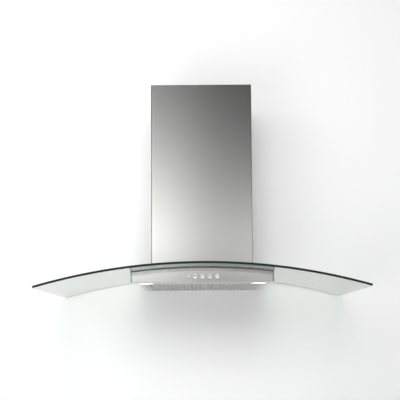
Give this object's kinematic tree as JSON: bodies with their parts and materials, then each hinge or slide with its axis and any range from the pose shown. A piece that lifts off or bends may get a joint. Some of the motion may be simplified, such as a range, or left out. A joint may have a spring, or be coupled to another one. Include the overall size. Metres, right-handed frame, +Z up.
{
  "type": "curved glass range hood",
  "caption": "Wall-mounted chimney range hood with a bent glass canopy, a steel control panel, a hinged grease filter, lamps, a fan and a two-part telescoping steel chimney.",
  "frame": {"origin": "centre of the four wall fixings, on the wall's face", "axes": "+X to the right as seen from the room, along the width; +Y into the wall; +Z up"},
  "size_m": [0.9, 0.5, 0.6204],
  "materials": {
    "canopy_glass": "clear toughened float glass, 6 mm, with polished edges that look dark green",
    "black_rubber": "matt black rubber",
    "satin_steel": "stainless steel sheet with a fine satin grain",
    "button_metal": "turned steel-coloured button caps with a bright rim",
    "bright_metal": "polished bright rings",
    "circuit_board": "green board with black switches",
    "spring_steel": "bright spring wire",
    "black_plastic": "moulded black plastic, lightly grained",
    "indicator_plastic": "small clear light pipe",
    "frosted_lens": "frosted white lens",
    "lamp_aluminium": "die-cast aluminium",
    "filter_aluminium": "plain aluminium frame and nets",
    "grey_plastic": "moulded grey plastic",
    "zinc_steel": "galvanised steel sheet",
    "screw_steel": "bright plated steel",
    "motor_paint": "dark painted pressed steel",
    "axle_steel": "ground steel",
    "laminated_iron": "varnished laminated iron",
    "capacitor_can": "drawn aluminium can",
    "lead_jacket": "pale flexible jacket"
  },
  "bodies": {
    "root": {"glass_canopy": "canopy_glass", "glass_gasket": "black_rubber", "clamp_bushes": "black_rubber", "front_panel": "satin_steel", "body_tray": "satin_steel", "lower_chimney": "satin_steel", "button_bezels": "bright_metal", "lamp_bezel_left": "bright_metal", "lamp_bezel_right": "bright_metal", "control_board": "circuit_board", "button_springs": "spring_steel", "switch_housing": "black_plastic", "scroll_left": "black_plastic", "scroll_right": "black_plastic", "inlet_rings": "black_plastic", "terminal_box": "black_plastic", "terminal_lid": "black_plastic", "cable_gland": "black_plastic", "indicator_led": "indicator_plastic", "lamp_lens_left": "frosted_lens", "lamp_lens_right": "frosted_lens", "lamp_module_left": "lamp_aluminium", "lamp_module_right": "lamp_aluminium", "outlet_collar": "grey_plastic", "glass_seat": "zinc_steel", "filter_hinge_sockets": "zinc_steel", "casing_shell": "zinc_steel", "back_plate": "zinc_steel", "casing_lid": "zinc_steel", "casing_feet": "zinc_steel", "motor_bracket": "zinc_steel", "clamp_screws": "screw_steel", "clamp_nuts": "screw_steel", "collar_screws": "screw_steel", "lower_chimney_screws": "screw_steel", "motor_can": "motor_paint", "motor_end_bell": "motor_paint", "motor_bearings": "axle_steel", "motor_stator": "laminated_iron", "capacitor": "capacitor_can", "wiring_lead": "lead_jacket"},
    "button_light": {"button_light": "button_metal"},
    "button_speed_low": {"button_speed_low": "button_metal"},
    "button_speed_middle": {"button_speed_middle": "button_metal"},
    "button_speed_high": {"button_speed_high": "button_metal"},
    "filter": {"filter_frame": "filter_aluminium", "filter_meshes": "filter_aluminium", "filter_core": "filter_aluminium", "catch_springs": "spring_steel"},
    "catch": {"filter_catch": "grey_plastic"},
    "fan": {"fan_wheel": "zinc_steel", "fan_blades": "zinc_steel", "fan_rings": "zinc_steel", "motor_shaft": "axle_steel", "motor_rotor": "laminated_iron"},
    "flap_front": {"flap_front": "grey_plastic"},
    "flap_rear": {"flap_rear": "grey_plastic"},
    "upper_cover": {"upper_chimney": "satin_steel", "ceiling_bracket": "zinc_steel", "upper_chimney_screws": "screw_steel"}
  },
  "joints": [
    {"name": "press_light", "type": "slide", "parent": "root", "child": "button_light", "axis": [0, 1, 0], "range_m": [0, 0.001], "stiffness_N_per_m": 400, "springref_m": -0.001},
    {"name": "press_speed_low", "type": "slide", "parent": "root", "child": "button_speed_low", "axis": [0, 1, 0], "range_m": [0, 0.001], "stiffness_N_per_m": 400, "springref_m": -0.001},
    {"name": "press_speed_middle", "type": "slide", "parent": "root", "child": "button_speed_middle", "axis": [0, 1, 0], "range_m": [0, 0.001], "stiffness_N_per_m": 400, "springref_m": -0.001},
    {"name": "press_speed_high", "type": "slide", "parent": "root", "child": "button_speed_high", "axis": [0, 1, 0], "range_m": [0, 0.001], "stiffness_N_per_m": 400, "springref_m": -0.001},
    {"name": "filter_swing", "type": "hinge", "parent": "root", "child": "filter", "pos_m": [0, -0.016, -0.1941], "axis": [1, 0, 0], "range_deg": [0, 75]},
    {"name": "filter_catch_slide", "type": "slide", "parent": "filter", "child": "catch", "axis": [0, 1, 0], "range_m": [0, 0.005], "stiffness_N_per_m": 600, "springref_m": -0.002},
    {"name": "fan_spin", "type": "hinge", "parent": "root", "child": "fan", "pos_m": [0, -0.112, -0.042], "axis": [1, 0, 0], "continuous": true},
    {"name": "flap_front_swing", "type": "hinge", "parent": "root", "child": "flap_front", "pos_m": [0, -0.154, 0.149], "axis": [-1, 0, 0], "range_deg": [0, 75]},
    {"name": "flap_rear_swing", "type": "hinge", "parent": "root", "child": "flap_rear", "pos_m": [0, -0.146, 0.149], "axis": [1, 0, 0], "range_deg": [0, 75]},
    {"name": "upper_chimney_slide", "type": "slide", "parent": "root", "child": "upper_cover", "axis": [0, 0, 1], "range_m": [0, 0.4]}
  ]
}
